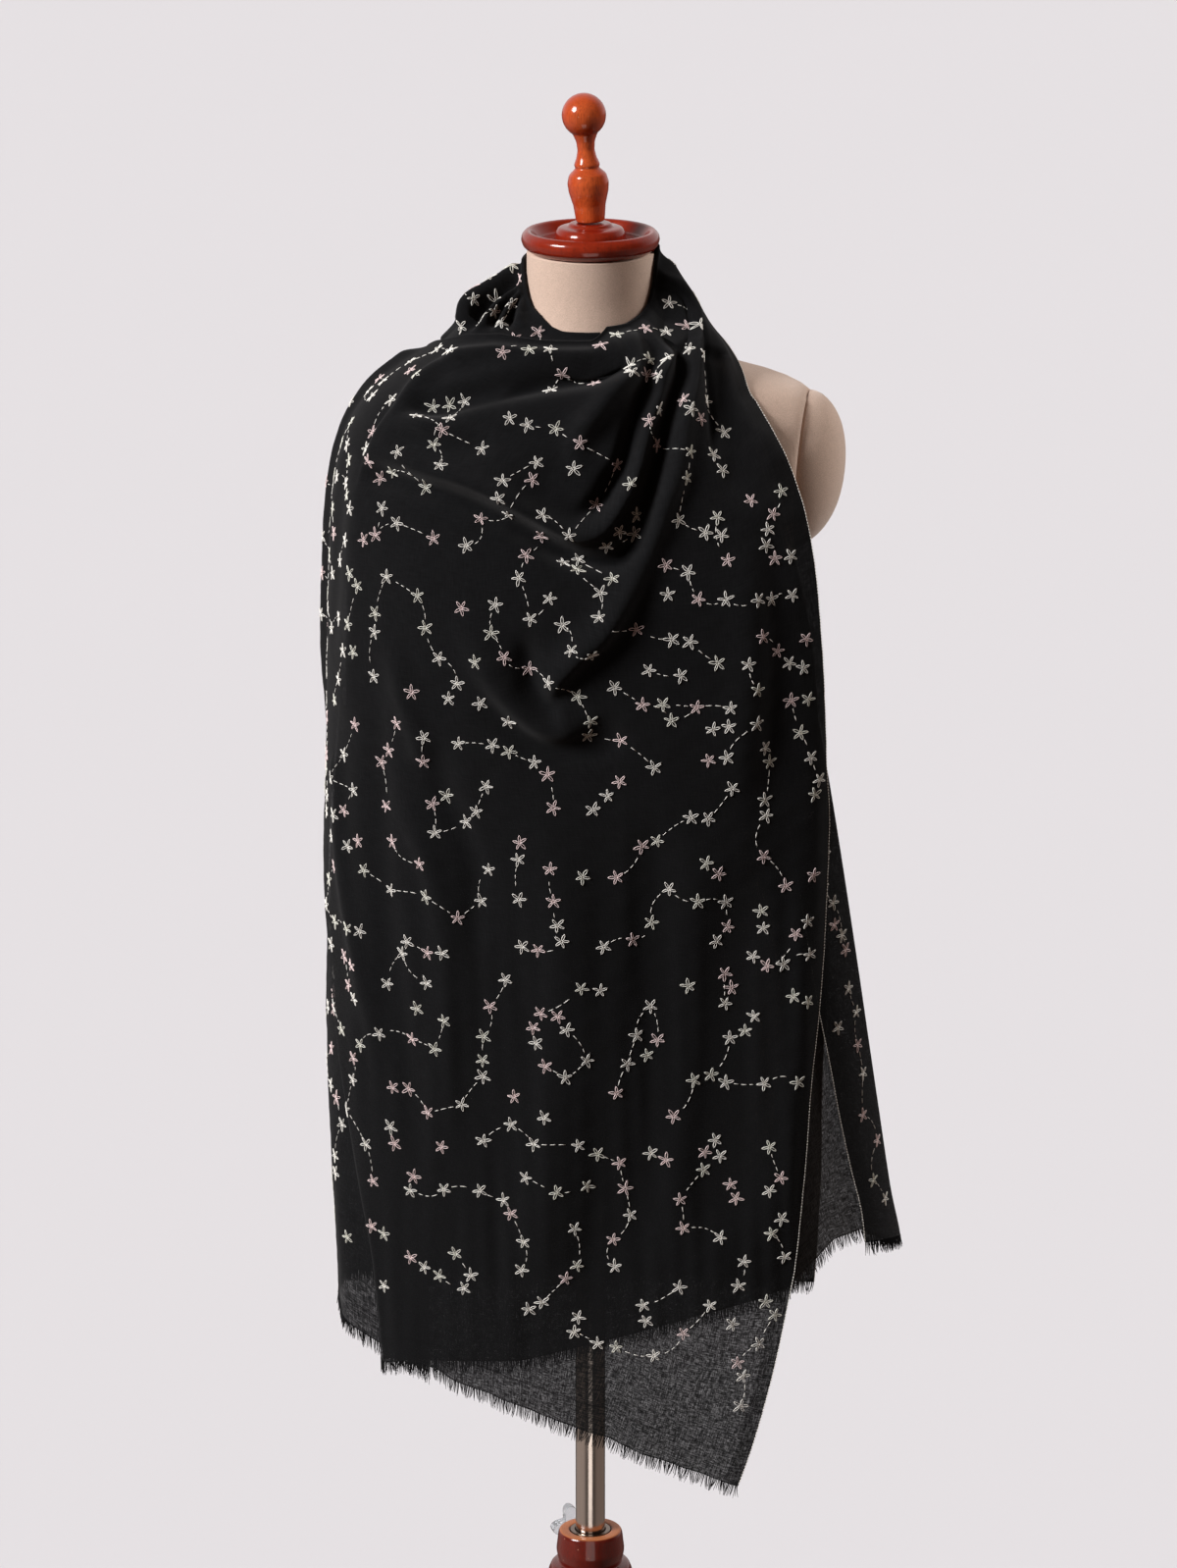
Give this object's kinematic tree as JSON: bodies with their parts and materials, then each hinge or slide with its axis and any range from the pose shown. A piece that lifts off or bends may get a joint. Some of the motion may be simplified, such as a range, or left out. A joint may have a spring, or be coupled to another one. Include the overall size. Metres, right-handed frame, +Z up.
{
  "type": "pashmina shawl on a dress form",
  "caption": "Black fringed pashmina shawl with stitched stars, draped over one shoulder of a limbless dress form on a turned wooden stand.",
  "frame": {"origin": "centre of the stand's foot, on the floor", "axes": "+Z up; the shawl's front looks along -Y; +X is to the right of someone who faces it"},
  "size_m": [0.4871, 0.36, 1.6112],
  "materials": {
    "mahogany": "gloss",
    "pashmina": "matte",
    "velvet": "matte",
    "steel": "polished",
    "clear_plastic": "gloss"
  },
  "bodies": {
    "stand": {"base": "mahogany", "column": "mahogany", "sleeve": "steel"},
    "mast": {"pole": "steel"},
    "figure": {"form": "velvet", "left_arm_cap": "velvet", "right_arm_cap": "velvet", "neck_cap": "mahogany", "finial": "mahogany", "front_fall": "pashmina", "inner_fall": "pashmina", "shoulder_fall": "pashmina", "neck_loop": "pashmina", "front_fringe": "pashmina", "inner_fringe": "pashmina", "flap_fringe": "pashmina", "shoulder_fringe": "pashmina"},
    "clamp": {"clamp_screw": "steel", "clamp_knob": "clear_plastic"}
  },
  "joints": [
    {"name": "mast_slide", "type": "slide", "parent": "stand", "child": "mast", "axis": [0, 0, 1], "range_m": [-0.1, 0.1]},
    {"name": "figure_turn", "type": "hinge", "parent": "mast", "child": "figure", "pos_m": [0, 0, 0.693], "axis": [0, 0, 1], "continuous": true},
    {"name": "clamp_turn", "type": "hinge", "parent": "stand", "child": "clamp", "pos_m": [-0.01282, 0.03947, 0.346], "axis": [-0.309, 0.9511, 0], "continuous": true}
  ]
}
